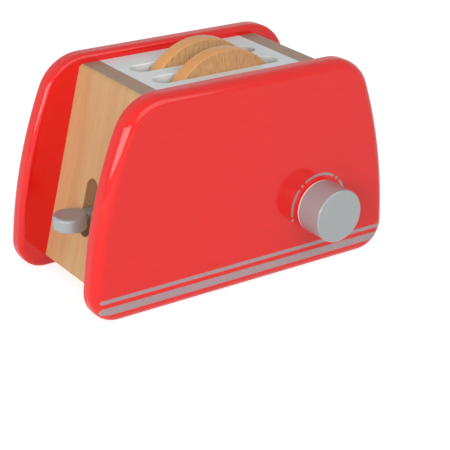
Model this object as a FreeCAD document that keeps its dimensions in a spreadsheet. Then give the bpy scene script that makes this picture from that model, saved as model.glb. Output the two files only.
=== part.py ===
import FreeCAD, Part
import math
import os
import Sketcher

# A wooden toy toaster. Two rounded side panels hold a body of leaning end boards and a slotted top.
# Inside, a lift board slides on two guide posts and carries two toast slices. A lever raises it.
# X runs along the toaster, the lever's end at -X. Y runs from the dial to the back. Z is up.
# The origin lies on the ground, under the middle of the overall box, dial included.

# The driving dimensions, in millimetres, and degrees for the slope.
SIZES = {
    # side panels
    "panel_length": 201.6,          # widest length, low down on the foot rounding
    "panel_height": 123.2,
    "panel_thickness": 13.0,
    "panel_gap": 68.0,              # clear width between the two panels
    "foot_radius": 16.8,            # rounding of the lower corners
    "flank_radius": 278.0,          # long swelling side of the outline
    "flank_centre_height": 4.5,     # of the flanks' arcs, below the foot arcs' centres
    "shoulder_radius": 27.3,        # rounding of the upper corners
    "outer_edge_round": 6.0,
    "inner_edge_round": 3.0,
    # boards between the panels
    "board_thickness": 12.3,        # end boards and top board
    "end_inset": 40.1,              # panels beyond the end boards' outer top edges
    "end_slope": 12.2,              # lean of the end boards, in degrees
    "top_drop": 5.2,                # top board below the panels' tops
    "ground_gap": 7.6,              # end boards' lower edges above the ground
    "end_edge_round": 3.0,
    # dowelled joints
    "dowel_diameter": 6.0,
    "dowel_bite": 10.0,             # depth in the boards
    "dowel_cover": 3.0,             # wood left behind the dowel in a side panel
    "dowel_chamfer": 0.8,
    "low_dowel_height": 28.0,
    "high_dowel_drop": 26.0,        # below the top board's face
    "top_dowel_inset": 18.1,        # from the top board's ends
    "glue_gap": 0.1,                # round and behind glued dowels and pegs
    # bread slots in the top board
    "slot_end_wood": 7.0,           # between a slot's end and the top board's end
    "bread_slot_width": 11.7,
    "bread_slot_web": 10.3,         # wood between the two slots
    "slot_rim_round": 0.8,
    # base board, cleats and screws
    "base_thickness": 9.0,
    "base_fit": 0.3,                # gap round the drop-in base
    "cleat_size": 12.0,
    "cleat_dial_room": 2.7,         # from the cleats' ends to the dial's washer
    "cleat_chamfer": 1.0,
    "base_screw_inset": 10.0,       # from the cleats' ends
    "base_screw_cover": 4.0,        # wood left above the screws' points
    "base_screw_diameter": 3.5,
    "base_screw_head": 7.0,
    # guide posts
    "post_diameter": 6.0,
    "post_foot_diameter": 12.0,     # shoulder that the lift rests on
    "post_bite": 5.0,               # depth in the base and in the top board
    "post_clearance": 0.3,          # radial gap in the lift board
    # lift board
    "lift_height": 38.5,            # underside of the lift at rest
    "lift_thickness": 8.0,          # lift board and lever
    "lift_travel": 13.0,
    "lift_end_room": 2.7,           # to the lever's end board, at the top of the travel
    "tray_side_margin": 3.15,       # board beside the trays
    "tray_end_margin": 5.0,         # board beyond the trays, at the dial's end
    "lift_corner_round": 3.0,
    "tray_depth": 3.0,
    # lever and its slot in the end board
    "slot_room_beside": 1.4,        # on either side of the neck
    "slot_room_above": 1.9,         # above the neck at the top of its travel
    "slot_room_below": 7.2,         # below the neck at rest
    "paddle_radius": 9.6,
    "paddle_gap": 1.75,             # to the end board, level with the lever's top
    "neck_width": 8.5,
    "neck_fillet": 2.0,             # where the neck runs into the paddle
    "lever_edge_round": 1.5,
    "lap_post_room": 4.0,           # from the lap's inner end to the guide post
    "lap_depth": 4.0,               # neck let into the lift board
    "lap_fit": 0.1,
    "lever_screw_inset": 3.75,      # from the lap's ends
    "lever_screw_spacing": 7.5,
    "lever_screw_cover": 1.0,       # wood left under the screws' points
    "lever_screw_diameter": 2.5,
    "lever_screw_head": 5.0,
    # dial
    "dial_inset": 52.1,             # axis, from the panels' widest point
    "dial_height": 38.45,
    "knob_diameter": 31.5,
    "knob_reach": 19.25,            # front face, from the side panel
    "knob_gap": 0.4,
    "knob_edge_round": 0.9,
    "axle_diameter": 8.0,
    "axle_clearance": 0.3,          # radial gap in the front panel
    "axle_in_knob": 12.0,
    "washer_diameter": 16.0,
    "washer_thickness": 1.5,
    "washer_gap": 0.4,
    "dial_screw_length": 14.0,
    "dial_screw_diameter": 3.0,
    "dial_screw_head": 7.0,
    "dial_screw_head_height": 2.4,
    # toast slices
    "toast_end_play": 6.8,          # in the slot's length, at each end
    "toast_side_play": 2.5,         # in the slot's width
    "toast_rise": 12.0,             # above the top board
    "toast_crown_flare": 3.5,       # crown's radius beyond half the slice's width
    "toast_shoulder_radius": 8.0,
    "toast_corner_radius": 6.0,
    "toast_edge_bevel": 0.5,
    "toast_wall_gap": 0.3,          # the slices stand close to the near wall of their slots
    "front_toast_shift": 2.3,       # loose slices, as they stand
    "rear_toast_shift": 2.8,
}

# Places that several pieces share, as formulas on the driving dimensions.
MID_Y = "(sizes.knob_reach / 2)"
FRONT_INNER_Y = f"({MID_Y} - sizes.panel_gap / 2)"
REAR_INNER_Y = f"({MID_Y} + sizes.panel_gap / 2)"
TOP_Z = "(sizes.panel_height - sizes.top_drop)"
BASE_TOP_Z = "(sizes.ground_gap + sizes.base_thickness)"
LIFT_TOP_Z = "(sizes.lift_height + sizes.lift_thickness)"
BODY_END_X = "(sizes.panel_length / 2 - sizes.end_inset)"
DOWEL_IN_PANEL = "(sizes.panel_thickness - sizes.dowel_cover)"
DOWEL_HOLE = "(sizes.dowel_diameter + 2 * sizes.glue_gap)"
POST_SOCKET = "(sizes.post_diameter + 2 * sizes.glue_gap)"
BASE_SCREW_HOLE = "(sizes.base_screw_diameter + 2 * sizes.glue_gap)"
LEVER_SCREW_HOLE = "(sizes.lever_screw_diameter + 2 * sizes.glue_gap)"
SLOT_Y = "((sizes.bread_slot_web + sizes.bread_slot_width) / 2)"
TRAY_FLOOR_Z = f"({LIFT_TOP_Z} - sizes.tray_depth)"
LIFT_WIDTH = "(sizes.bread_slot_web + 2 * sizes.bread_slot_width + 2 * sizes.tray_side_margin)"
TOP_DOWEL_Z = f"({TOP_Z} - sizes.board_thickness / 2)"
DOWEL_HEIGHTS = ("sizes.low_dowel_height", f"({TOP_Z} - sizes.high_dowel_drop)")


def outer_x(height):
    """Half length over the end boards' outer faces at a height above the ground."""
    return f"({BODY_END_X} + ({TOP_Z} - {height}) * tan(sizes.end_slope))"


def inner_x(height):
    """Half length between the end boards' inner faces at a height above the ground."""
    return f"({outer_x(height)} - sizes.board_thickness / cos(sizes.end_slope))"


def middle_x(height):
    """Half length between the middles of the two end boards at a height above the ground."""
    return f"({outer_x(height)} - sizes.board_thickness / 2 / cos(sizes.end_slope))"


TOP_DOWEL_X = f"({inner_x(TOP_Z)} - sizes.top_dowel_inset)"
SLOT_LENGTH = f"(2 * ({inner_x(TOP_Z)} - sizes.slot_end_wood))"
RAISED_TOP_Z = f"({LIFT_TOP_Z} + sizes.lift_travel)"
LIFT_LEVER_END = f"({inner_x(RAISED_TOP_Z)} - sizes.lift_end_room)"
LIFT_DIAL_END = f"({SLOT_LENGTH} / 2 + sizes.tray_end_margin)"
LAP_END = f"({LIFT_LEVER_END} - 2 * sizes.lever_screw_inset - sizes.lever_screw_spacing)"
POST_X = f"({LAP_END} - sizes.lap_post_room - sizes.post_diameter / 2)"
DIAL_X = "(sizes.panel_length / 2 - sizes.dial_inset)"
CLEAT_END_X = f"({DIAL_X} - sizes.washer_diameter / 2 - sizes.cleat_dial_room)"
BASE_SCREW_X = f"({CLEAT_END_X} - sizes.base_screw_inset)"
BASE_SCREW_LENGTH = "(sizes.base_thickness + sizes.cleat_size - sizes.base_screw_cover)"
LEVER_SCREW_LENGTH = "(sizes.lift_thickness - sizes.lever_screw_cover)"
PADDLE_X = f"({outer_x(LIFT_TOP_Z)} + sizes.paddle_radius + sizes.paddle_gap)"
LEVER_SLOT_WIDTH = "(sizes.neck_width + 2 * sizes.slot_room_beside)"
TOAST_WIDTH = f"({SLOT_LENGTH} - 2 * sizes.toast_end_play)"
TOAST_THICKNESS = "(sizes.bread_slot_width - sizes.toast_side_play)"
TOAST_HEIGHT = f"({TOP_Z} + sizes.toast_rise - {TRAY_FLOOR_Z})"
TOAST_CROWN_RADIUS = f"({TOAST_WIDTH} / 2 + sizes.toast_crown_flare)"

# Turns of the sub-parts.
STRAIGHT = "rotation(vector(0; 0; 1); 0)"
ABOUT_FACE = "rotation(vector(0; 0; 1); 180)"
UPSIDE_DOWN = "rotation(vector(0; 1; 0); 180)"
LEAN = "rotation(vector(0; 1; 0); -sizes.end_slope)"

NORMAL = FreeCAD.Vector(0, 0, 1)    # of every drawing plane
SAME_PLACE = 1e-4                   # closer than this, two coordinates are the same

doc = FreeCAD.newDocument("toy_toaster")
sheet = doc.addObject("Spreadsheet::Sheet", "sizes")
for row, (alias, number) in enumerate(SIZES.items(), 1):
    sheet.set(f"A{row}", str(number))
    sheet.setAlias(f"A{row}", alias)
doc.recompute()
subparts = []


def number_of(formula):
    """The present value of a formula on the sheet."""
    return float(sheet.evalExpression(formula))


# Bodies, sketches and features

def new_body(label):
    """A sub-part: its label names its node."""
    body = doc.addObject("PartDesign::Body", label)
    body.Label = label
    subparts.append(body)
    return body


def place(body, x="0", y="0", z="0", turn=STRAIGHT):
    """Ties a sub-part's placement to the sheet."""
    body.setExpression("Placement", f"placement(vector({x}; {y}; {z}); {turn})")


def new_sketch(body, role, name, height=None):
    """A sketch on one of the body's own origin planes, raised along its normal where height is given."""
    sketch = body.newObject("Sketcher::SketchObject", name)
    plane = next(feature for feature in body.Origin.OriginFeatures if feature.Role == role)
    sketch.AttachmentSupport = [(plane, "")]
    sketch.MapMode = "FlatFace"
    if height:
        sketch.setExpression("AttachmentOffset.Base.z", height)
    return sketch


def tie(sketch, kind, *where, formula):
    """Adds a dimension to a sketch and binds it to a formula on the sheet."""
    index = sketch.addConstraint(Sketcher.Constraint(kind, *where, number_of(formula)))
    sketch.setExpression(f"Constraints[{index}]", formula)


def tie_point(sketch, curve, end, x, y):
    """Binds a point of a curve to its distances from the sketch's origin."""
    for kind, axis, formula in (("DistanceX", -2, x), ("DistanceY", -1, y)):
        if formula == "0":
            sketch.addConstraint(Sketcher.Constraint("PointOnObject", curve, end, axis))
        else:
            tie(sketch, kind, -1, 1, curve, end, formula=formula)


def vector(x, y):
    return FreeCAD.Vector(x, y, 0)


def polygon(sketch, corners):
    """A closed outline of straight edges whose corners are formulas."""
    points = [vector(number_of(x), number_of(y)) for x, y in corners]
    first = sketch.GeometryCount
    count = len(points)
    for index, point in enumerate(points):
        sketch.addGeometry(Part.LineSegment(point, points[(index + 1) % count]), False)
    for index, (x, y) in enumerate(corners):
        following = first + (index + 1) % count
        sketch.addConstraint(Sketcher.Constraint("Coincident", first + index, 2, following, 1))
        tie_point(sketch, first + index, 1, x, y)


def rectangle(sketch, left, right, low, high):
    polygon(sketch, [(left, low), (right, low), (right, high), (left, high)])


def circle(sketch, x, y, diameter):
    centre = vector(number_of(x), number_of(y))
    curve = sketch.addGeometry(Part.Circle(centre, NORMAL, number_of(diameter) / 2), False)
    tie_point(sketch, curve, 3, x, y)
    tie(sketch, "Diameter", curve, formula=diameter)


def round_slot(sketch, x, y, length, width, upright=False):
    """A slot with half-round ends. Its length runs along the sketch's X, or along Y where upright."""
    turn = math.pi / 2 if upright else 0
    along = vector(math.cos(turn), math.sin(turn))
    across = vector(-math.sin(turn), math.cos(turn))
    middle = vector(number_of(x), number_of(y))
    radius = number_of(width) / 2
    reach = number_of(length) / 2 - radius
    near = middle - along * reach
    far = middle + along * reach
    degrees = math.degrees(turn)
    first = smooth_outline(sketch, [
        Part.LineSegment(near - across * radius, far - across * radius),
        arc(far.x, far.y, radius, degrees - 90, degrees + 90),
        Part.LineSegment(far + across * radius, near + across * radius),
        arc(near.x, near.y, radius, degrees + 90, degrees + 270),
    ])
    sketch.addConstraint(Sketcher.Constraint("Vertical" if upright else "Horizontal", first))
    tie(sketch, "Radius", first + 1, formula=f"{width} / 2")
    half_reach = f"({length} - {width}) / 2"
    for end, sign in ((first + 1, "+"), (first + 3, "-")):
        if upright:
            tie(sketch, "DistanceY", -1, 1, end, 3, formula=f"{y} {sign} {half_reach}")
        else:
            tie(sketch, "DistanceX", -1, 1, end, 3, formula=f"{x} {sign} {half_reach}")
    if upright:
        sketch.addConstraint(Sketcher.Constraint("PointOnObject", first + 1, 3, -2))
    else:
        tie(sketch, "DistanceY", -1, 1, first + 1, 3, formula=y)


def smooth_outline(sketch, curves):
    """Adds a closed anticlockwise chain of lines and arcs, each tangent to the next.
    Returns the first one's index."""
    first = sketch.GeometryCount
    for curve in curves:
        sketch.addGeometry(curve, False)
    for index in range(len(curves)):
        following = first + (index + 1) % len(curves)
        sketch.addConstraint(Sketcher.Constraint("Tangent", first + index, 2, following, 1))
    return first


def arc(x, y, radius, start, end):
    """An arc about a centre, anticlockwise between two angles in degrees."""
    whole = Part.Circle(vector(x, y), NORMAL, radius)
    return Part.ArcOfCircle(whole, math.radians(start), math.radians(end))


def pad(body, sketch, length, name="Pad", midplane=False, reverse=False):
    feature = body.newObject("PartDesign::Pad", name)
    feature.Profile = sketch
    feature.setExpression("Length", length)
    feature.Midplane = midplane
    feature.Reversed = reverse
    body.Tip = feature
    doc.recompute()
    return feature


def pocket(body, sketch, depth=None, name="Pocket", reverse=False, midplane=False):
    """Cuts to a depth, or right through where none is given. It has to take material away."""
    before = body.Shape.Volume
    feature = body.newObject("PartDesign::Pocket", name)
    feature.Profile = sketch
    feature.Reversed = reverse
    feature.Midplane = midplane
    if depth:
        feature.setExpression("Length", depth)
    else:
        feature.Type = "ThroughAll"
    body.Tip = feature
    doc.recompute()
    if body.Shape.Volume >= before:
        raise RuntimeError(f"{body.Label}: {name} cuts nothing")
    return feature


def revolve(body, sketch, axis="V_Axis", name="Revolution"):
    feature = body.newObject("PartDesign::Revolution", name)
    feature.Profile = sketch
    feature.ReferenceAxis = (sketch, [axis])
    feature.Angle = 360
    body.Tip = feature
    doc.recompute()
    return feature


def repeat(body, profile, steps):
    """Doubles the last feature along each axis of its profile by a distance."""
    original = body.Tip
    pattern = body.newObject("PartDesign::MultiTransform", "Pattern")
    pattern.Originals = [original]
    moves = []
    for axis, distance in steps:
        move = doc.addObject("PartDesign::LinearPattern", f"Along{axis[0]}")
        body.addObject(move)
        move.Direction = (profile, [axis])
        move.setExpression("Length", distance)
        move.Occurrences = 2
        moves.append(move)
    pattern.Transformations = moves
    body.Tip = pattern
    doc.recompute()


def dress(body, kind, size, choose, name):
    """Rounds or bevels the edges that choose picks. Kind is Fillet or Chamfer."""
    base = body.Tip
    names = [f"Edge{index}" for index, edge in enumerate(base.Shape.Edges, 1) if choose(edge)]
    if not names:
        raise RuntimeError(f"{body.Label}: {name} finds no edge")
    feature = body.newObject(f"PartDesign::{kind}", name)
    feature.Base = (base, names)
    feature.setExpression("Radius" if kind == "Fillet" else "Size", size)
    body.Tip = feature
    doc.recompute()
    return feature


def flat_at(axis, formula):
    """Chooses edges that lie wholly at one coordinate of the body."""
    level = number_of(formula)
    return lambda edge: all(abs(getattr(end.Point, axis) - level) < SAME_PLACE for end in edge.Vertexes)


def is_circle(edge):
    return isinstance(edge.Curve, Part.Circle)


def is_upright(edge):
    return edge.tangentAt(edge.FirstParameter).cross(NORMAL).Length < SAME_PLACE


# Side panels

def dowel_places():
    """Where the dowels of one side stand, seen along Y: two in each end board and two in the top board."""
    places = []
    for side in ("-", ""):
        for height in DOWEL_HEIGHTS:
            places.append((f"{side}{middle_x(height)}", height))
        places.append((f"{side}{TOP_DOWEL_X}", TOP_DOWEL_Z))
    return places


def panel_outline(sketch):
    """Flat foot, rounded corners, long swelling flanks that lean out to the foot and a flat top,
    all tangent."""
    foot = SIZES["foot_radius"]
    flank = SIZES["flank_radius"]
    shoulder = SIZES["shoulder_radius"]
    height = SIZES["panel_height"]
    centre_height = SIZES["flank_centre_height"]
    low = math.degrees(math.asin((foot - centre_height) / (flank - foot)))
    high = math.degrees(math.asin((height - shoulder - centre_height) / (flank - shoulder)))
    foot_half = SIZES["panel_length"] / 2 - foot
    centre = foot_half - (flank - foot) * math.cos(math.radians(low))
    top_half = centre + (flank - shoulder) * math.cos(math.radians(high))
    first = smooth_outline(sketch, [
        Part.LineSegment(vector(-foot_half, 0), vector(foot_half, 0)),
        arc(foot_half, foot, foot, -90, low),
        arc(centre, centre_height, flank, low, high),
        arc(top_half, height - shoulder, shoulder, high, 90),
        Part.LineSegment(vector(top_half, height), vector(-top_half, height)),
        arc(-top_half, height - shoulder, shoulder, 90, 180 - high),
        arc(-centre, centre_height, flank, 180 - high, 180 - low),
        arc(-foot_half, foot, foot, 180 - low, 270),
    ])
    bottom, right_foot, right_flank, right_shoulder = range(first, first + 4)
    top, left_shoulder, left_flank, left_foot = range(first + 4, first + 8)
    sketch.addConstraint(Sketcher.Constraint("PointOnObject", bottom, 1, -1))
    sketch.addConstraint(Sketcher.Constraint("Symmetric", bottom, 1, bottom, 2, -2))
    sketch.addConstraint(Sketcher.Constraint("Symmetric", top, 1, top, 2, -2))
    for left, right, formula in (
        (left_foot, right_foot, "sizes.foot_radius"),
        (left_flank, right_flank, "sizes.flank_radius"),
        (left_shoulder, right_shoulder, "sizes.shoulder_radius"),
    ):
        sketch.addConstraint(Sketcher.Constraint("Equal", left, right))
        tie(sketch, "Radius", right, formula=formula)
    tie(sketch, "DistanceY", bottom, 1, top, 1, formula="sizes.panel_height")
    tie(sketch, "DistanceX", left_foot, 3, right_foot, 3,
        formula="sizes.panel_length - 2 * sizes.foot_radius")
    tie(sketch, "DistanceY", -1, 1, right_flank, 3, formula="sizes.flank_centre_height")


def side_panel(label, y, turn, with_dial):
    """A panel that stands with its inner face on the XZ plane and its thickness towards -Y."""
    body = new_body(label)
    outline = new_sketch(body, "XZ_Plane", "Outline")
    panel_outline(outline)
    pad(body, outline, "sizes.panel_thickness")
    dress(body, "Fillet", "sizes.outer_edge_round", flat_at("y", "-sizes.panel_thickness"), "OuterEdge")
    dress(body, "Fillet", "sizes.inner_edge_round", flat_at("y", "0"), "InnerEdge")
    dowels = new_sketch(body, "XZ_Plane", "DowelHoles")
    for x, z in dowel_places():
        circle(dowels, x, z, DOWEL_HOLE)
    pocket(body, dowels, f"{DOWEL_IN_PANEL} + sizes.glue_gap", "DowelHoles", reverse=True)
    if with_dial:
        bore = new_sketch(body, "XZ_Plane", "DialBore")
        circle(bore, DIAL_X, "sizes.dial_height", "sizes.axle_diameter + 2 * sizes.axle_clearance")
        pocket(body, bore, None, "DialBore", midplane=True)
    place(body, y=y, turn=turn)


side_panel("front_side_panel", FRONT_INNER_Y, STRAIGHT, with_dial=True)
side_panel("rear_side_panel", REAR_INNER_Y, ABOUT_FACE, with_dial=False)


# End boards

def down_slope(height, depth="0"):
    """Distance down an end board from its outer top edge, for a height above the ground,
    at a depth inside its outer face."""
    return f"(({TOP_Z} - {height} - {depth} * sin(sizes.end_slope)) / cos(sizes.end_slope))"


def end_board(label, turn, with_slot):
    """A board in its own frame: the outer face on the YZ plane, its top outer edge at the origin.
    Top and bottom are cut level for the board's lean."""
    body = new_body(label)
    section = new_sketch(body, "XZ_Plane", "Section")
    bevel = "sizes.board_thickness * tan(sizes.end_slope)"
    length = down_slope("sizes.ground_gap")
    polygon(section, [
        ("0", "0"),
        ("-sizes.board_thickness", bevel),
        ("-sizes.board_thickness", f"{bevel} - {length}"),
        ("0", f"-{length}"),
    ])
    pad(body, section, "sizes.panel_gap", midplane=True)
    level = flat_at("z", "0")
    dress(body, "Fillet", "sizes.end_edge_round",
          lambda edge: level(edge) and abs(edge.CenterOfMass.x) < SAME_PLACE, "TopEdge")
    for side, reverse in (("-", False), ("", True)):
        # the drawing plane looks along +Y, so the minus side stands on the +Y edge
        holes = new_sketch(body, "XZ_Plane", "DowelHoles", height=f"{side}(sizes.panel_gap / 2)")
        for height in DOWEL_HEIGHTS:
            drop = down_slope(height, "(sizes.board_thickness / 2)")
            circle(holes, "-sizes.board_thickness / 2", f"-{drop}", DOWEL_HOLE)
        pocket(body, holes, "sizes.dowel_bite + sizes.glue_gap", "DowelHoles", reverse=not reverse)
    if with_slot:
        low = "(sizes.lift_height - sizes.slot_room_below)"
        high = f"({RAISED_TOP_Z} + sizes.slot_room_above + sizes.board_thickness * sin(sizes.end_slope))"
        slot = new_sketch(body, "YZ_Plane", "LeverSlot")
        round_slot(slot, "0", f"-({down_slope(high)} + {down_slope(low)}) / 2",
                   f"({down_slope(low)} - {down_slope(high)})", LEVER_SLOT_WIDTH, upright=True)
        pocket(body, slot, None, "LeverSlot", midplane=True)
    sign = "-" if with_slot else ""
    place(body, x=f"{sign}{BODY_END_X}", y=MID_Y, z=TOP_Z, turn=turn)


end_board("lever_end_panel", f"{ABOUT_FACE} * {LEAN}", with_slot=True)
end_board("plain_end_panel", LEAN, with_slot=False)


# Top board

def bread_slots(sketch):
    for side in ("-", ""):
        round_slot(sketch, "0", f"{side}{SLOT_Y}", SLOT_LENGTH, "sizes.bread_slot_width")


def top_board():
    """Its upper face on the XY plane, its ends cut to the end boards' lean."""
    body = new_body("top_panel")
    section = new_sketch(body, "XZ_Plane", "Section")
    low = f"({TOP_Z} - sizes.board_thickness)"
    polygon(section, [
        (f"-{inner_x(low)}", "-sizes.board_thickness"),
        (inner_x(low), "-sizes.board_thickness"),
        (inner_x(TOP_Z), "0"),
        (f"-{inner_x(TOP_Z)}", "0"),
    ])
    pad(body, section, "sizes.panel_gap", midplane=True)
    slots = new_sketch(body, "XY_Plane", "BreadSlots")
    bread_slots(slots)
    pocket(body, slots, None, "BreadSlots", midplane=True)
    slot_end = number_of(f"{SLOT_LENGTH} / 2") + SAME_PLACE
    slot_side = number_of(f"{SLOT_Y} + sizes.bread_slot_width / 2") + SAME_PLACE
    upper = flat_at("z", "0")

    def on_slot_rim(edge):
        middle = edge.CenterOfMass
        return upper(edge) and abs(middle.x) < slot_end and abs(middle.y) < slot_side

    dress(body, "Fillet", "sizes.slot_rim_round", on_slot_rim, "SlotRims")
    for side, reverse in (("-", False), ("", True)):
        holes = new_sketch(body, "XZ_Plane", "DowelHoles", height=f"{side}(sizes.panel_gap / 2)")
        for end in ("-", ""):
            circle(holes, f"{end}{TOP_DOWEL_X}", "-sizes.board_thickness / 2", DOWEL_HOLE)
        pocket(body, holes, "sizes.dowel_bite + sizes.glue_gap", "DowelHoles", reverse=not reverse)
    sockets = new_sketch(body, "XY_Plane", "PostSockets", height="-sizes.board_thickness")
    for side in ("-", ""):
        circle(sockets, f"{side}{POST_X}", "0", POST_SOCKET)
    pocket(body, sockets, "sizes.post_bite + sizes.glue_gap", "PostSockets", reverse=True)
    place(body, y=MID_Y, z=TOP_Z)


top_board()


# Base board, cleats and screws

CLEAT_Y = "(sizes.panel_gap / 2 - sizes.cleat_size / 2)"


def base_board():
    """Dropped in between the boards and panels, its underside on the XY plane."""
    body = new_body("base_panel")
    section = new_sketch(body, "XZ_Plane", "Section")
    low = f"({inner_x('sizes.ground_gap')} - sizes.base_fit)"
    high = f"({inner_x(BASE_TOP_Z)} - sizes.base_fit)"
    polygon(section, [
        (f"-{low}", "0"),
        (low, "0"),
        (high, "sizes.base_thickness"),
        (f"-{high}", "sizes.base_thickness"),
    ])
    pad(body, section, "sizes.panel_gap - 2 * sizes.base_fit", midplane=True)
    sockets = new_sketch(body, "XY_Plane", "PostSockets", height="sizes.base_thickness")
    for side in ("-", ""):
        circle(sockets, f"{side}{POST_X}", "0", POST_SOCKET)
    pocket(body, sockets, "sizes.post_bite + sizes.glue_gap", "PostSockets")
    holes = new_sketch(body, "XY_Plane", "ScrewHoles")
    for x, y in screw_places():
        circle(holes, x, y, BASE_SCREW_HOLE)
    pocket(body, holes, None, "ScrewHoles", midplane=True)
    sink = "(sizes.base_screw_head - sizes.base_screw_diameter) / 2"
    rim = flat_at("z", "0")
    dress(body, "Chamfer", sink, lambda edge: rim(edge) and is_circle(edge), "Countersinks")
    place(body, y=MID_Y, z="sizes.ground_gap")


def screw_places():
    """The four base screws, seen from above."""
    return [(f"{end}{BASE_SCREW_X}", f"{side}{CLEAT_Y}") for end in ("-", "") for side in ("-", "")]


def cleat(label, side):
    """A batten under the side panel's inner face, its underside on the XY plane."""
    body = new_body(label)
    plan = new_sketch(body, "XY_Plane", "Plan")
    rectangle(plan, f"-{CLEAT_END_X}", CLEAT_END_X, "-sizes.cleat_size / 2", "sizes.cleat_size / 2")
    pad(body, plan, "sizes.cleat_size")
    upper = flat_at("z", "sizes.cleat_size")
    dress(body, "Chamfer", "sizes.cleat_chamfer",
          lambda edge: upper(edge) and edge.CenterOfMass.y < -SAME_PLACE, "InnerEdge")
    holes = new_sketch(body, "XY_Plane", "PilotHoles")
    for end in ("-", ""):
        circle(holes, f"{end}{BASE_SCREW_X}", "0", BASE_SCREW_HOLE)
    pocket(body, holes, f"{BASE_SCREW_LENGTH} - sizes.base_thickness + sizes.glue_gap", "PilotHoles",
           reverse=True)
    turn = ABOUT_FACE if side == "-" else STRAIGHT
    place(body, y=f"{MID_Y} {'-' if side == '-' else '+'} {CLEAT_Y}", z=BASE_TOP_Z, turn=turn)


def countersunk_profile(sketch, length, diameter, head):
    """Half a countersunk screw: the head's flat on the X axis, the point up along Y."""
    cone = f"({head} - {diameter}) / 2"
    polygon(sketch, [
        ("0", "0"),
        (f"{head} / 2", "0"),
        (f"{diameter} / 2", cone),
        (f"{diameter} / 2", f"{length} - {diameter} / 2"),
        ("0", length),
    ])


def base_screw_set():
    body = new_body("base_screws")
    body.AllowCompound = True
    profile = new_sketch(body, "XZ_Plane", "Profile")
    countersunk_profile(profile, BASE_SCREW_LENGTH, "sizes.base_screw_diameter", "sizes.base_screw_head")
    revolve(body, profile)
    repeat(body, profile, (("H_Axis", f"2 * {BASE_SCREW_X}"), ("N_Axis", f"2 * {CLEAT_Y}")))
    place(body, x=f"-{BASE_SCREW_X}", y=f"{MID_Y} + {CLEAT_Y}", z="sizes.ground_gap")


base_board()
cleat("front_base_cleat", "-")
cleat("rear_base_cleat", "+")
base_screw_set()


# Dowels

def dowel_set(label, y, turn):
    """Six dowels of one side in a group, standing along Y, as deep in the panel as in their holes."""
    body = new_body(label)
    body.AllowCompound = True
    sketch = new_sketch(body, "XZ_Plane", "Places")
    for x, z in dowel_places():
        circle(sketch, x, z, "sizes.dowel_diameter")
    pad(body, sketch, f"{DOWEL_IN_PANEL} + sizes.dowel_bite")
    dress(body, "Chamfer", "sizes.dowel_chamfer", is_circle, "Ends")
    place(body, y=y, turn=turn)


dowel_set("front_joint_dowels", f"{FRONT_INNER_Y} + sizes.dowel_bite", STRAIGHT)
dowel_set("rear_joint_dowels", f"{REAR_INNER_Y} - sizes.dowel_bite", ABOUT_FACE)


# Guide posts

def guide_post(label, side):
    """A turned post: a pin in the base, a thick foot that the lift rests on, and a slim guide above it."""
    body = new_body(label)
    profile = new_sketch(body, "XZ_Plane", "Profile")
    slim = "sizes.post_diameter / 2"
    thick = "sizes.post_foot_diameter / 2"
    shoulder = f"(sizes.lift_height - {BASE_TOP_Z})"
    top = f"({TOP_Z} - sizes.board_thickness - {BASE_TOP_Z} + sizes.post_bite)"
    polygon(profile, [
        ("0", "-sizes.post_bite"),
        (slim, "-sizes.post_bite"),
        (slim, "0"),
        (thick, "0"),
        (thick, shoulder),
        (slim, shoulder),
        (slim, top),
        ("0", top),
    ])
    revolve(body, profile)
    crown = flat_at("z", top)
    dress(body, "Chamfer", "sizes.dowel_chamfer", crown, "Crown")
    place(body, x=f"{side}{POST_X}", y=MID_Y, z=BASE_TOP_Z)


guide_post("lever_side_post", "-")
guide_post("dial_side_post", "")


# Lift board

def lift_board():
    """Its underside on the XY plane. Two trays hold the slices and a lap takes the lever's neck."""
    body = new_body("lift_board")
    plan = new_sketch(body, "XY_Plane", "Plan")
    half = f"({LIFT_WIDTH} / 2)"
    rectangle(plan, f"-{LIFT_LEVER_END}", LIFT_DIAL_END, f"-{half}", half)
    pad(body, plan, "sizes.lift_thickness")
    dress(body, "Fillet", "sizes.lift_corner_round", is_upright, "Corners")
    trays = new_sketch(body, "XY_Plane", "Trays", height="sizes.lift_thickness")
    bread_slots(trays)
    pocket(body, trays, "sizes.tray_depth", "Trays")
    holes = new_sketch(body, "XY_Plane", "PostHoles")
    for side in ("-", ""):
        circle(holes, f"{side}{POST_X}", "0", "sizes.post_diameter + 2 * sizes.post_clearance")
    pocket(body, holes, None, "PostHoles", midplane=True)
    lap = new_sketch(body, "XY_Plane", "Lap", height="sizes.lift_thickness")
    lap_half = "(sizes.neck_width / 2 + sizes.lap_fit)"
    rectangle(lap, f"-{LIFT_LEVER_END} - sizes.lap_fit", f"-{LAP_END} + sizes.lap_fit",
              f"-{lap_half}", lap_half)
    pocket(body, lap, "sizes.lap_depth", "Lap")
    pilots = new_sketch(body, "XY_Plane", "PilotHoles", height="sizes.lift_thickness")
    for x in lever_screw_places():
        circle(pilots, x, "0", LEVER_SCREW_HOLE)
    pocket(body, pilots, f"{LEVER_SCREW_LENGTH} + sizes.glue_gap", "PilotHoles")
    place(body, y=MID_Y, z="sizes.lift_height")


def lever_screw_places():
    """The outer and the inner screw in the lap, along X."""
    outer = f"({LIFT_LEVER_END} - sizes.lever_screw_inset)"
    return [f"-{outer}", f"-({outer} - sizes.lever_screw_spacing)"]


lift_board()


# Lever

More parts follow.
